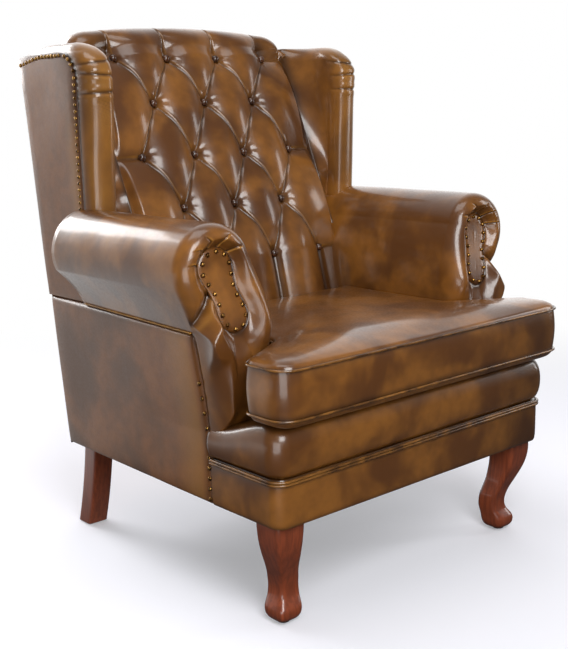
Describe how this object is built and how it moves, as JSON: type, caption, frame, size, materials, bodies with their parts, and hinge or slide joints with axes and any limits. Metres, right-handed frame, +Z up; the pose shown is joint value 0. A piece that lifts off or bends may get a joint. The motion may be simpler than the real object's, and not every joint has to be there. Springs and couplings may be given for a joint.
{
  "type": "wingback chair",
  "caption": "Wingback armchair in buttoned leather with scroll arms, a loose T-shaped seat cushion, cabriole front legs and swept rear legs.",
  "frame": {"origin": "on the floor, under the middle of the chair's bounding box", "axes": "+Z up; the chair faces -Y; +X to the right as seen from the front"},
  "size_m": [0.854, 0.836, 1.066],
  "materials": {
    "leather": "antiqued brown hide, glossy",
    "leather_panel": "antiqued brown hide, plain outside panels",
    "welt_leather": "dark brown hide over piping cord",
    "stained_wood": "red-brown stained and lacquered hardwood",
    "beech": "planed beech, unfinished",
    "foam": "polyurethane foam, cream",
    "spring_steel": "oil-tempered wire",
    "brass": "antiqued brass nail heads",
    "webbing": "woven elastic webbing",
    "black_cloth": "non-woven dust cloth",
    "zip_metal": "antique-finished zinc",
    "zip_tape": "nylon coil zip on brown tape",
    "nylon": "black nylon"
  },
  "bodies": {
    "chair": {"tufted_back": "leather", "back_buttons": "leather", "crest_roll": "leather", "arm_pad_left": "leather", "arm_pad_right": "leather", "arm_facing_left": "leather", "arm_facing_right": "leather", "wing_pad_left": "leather", "wing_pad_right": "leather", "front_edge_roll": "leather", "lower_band": "leather", "seat_deck": "leather", "outside_back": "leather_panel", "outside_arm_left": "leather_panel", "outside_arm_right": "leather_panel", "outside_wing_left": "leather_panel", "outside_wing_right": "leather_panel", "border_welt": "welt_leather", "front_leg_left": "stained_wood", "front_leg_right": "stained_wood", "rear_leg_left": "stained_wood", "rear_leg_right": "stained_wood", "front_rail": "beech", "rear_rail": "beech", "side_rail_left": "beech", "side_rail_right": "beech", "corner_blocks": "beech", "back_post_left": "beech", "back_post_right": "beech", "back_top_rail": "beech", "back_lower_rail": "beech", "wing_post_left": "beech", "wing_post_right": "beech", "wing_top_rail_left": "beech", "wing_top_rail_right": "beech", "arm_front_board_left": "beech", "arm_front_board_right": "beech", "arm_rail_left": "beech", "arm_rail_right": "beech", "arm_tack_rail_left": "beech", "arm_tack_rail_right": "beech", "seat_springs": "spring_steel", "spring_clips": "spring_steel", "leg_bolts": "spring_steel", "side_nails": "brass", "scroll_nails": "brass", "wing_nails": "brass", "back_webbing": "webbing", "dust_cover": "black_cloth", "foot_glides": "nylon"},
    "seat_cushion": {"cushion_cover": "leather", "cushion_foam": "foam", "cushion_welts": "welt_leather", "cushion_zip": "zip_tape"},
    "zip_slider": {"zip_slider": "zip_metal"}
  },
  "joints": [
    {"name": "cushion_lift", "type": "slide", "parent": "chair", "child": "seat_cushion", "axis": [0, 0, 1], "range_m": [0, 0.3]},
    {"name": "zip_run", "type": "slide", "parent": "seat_cushion", "child": "zip_slider", "axis": [1, 0, 0], "range_m": [0, 0.398]}
  ]
}
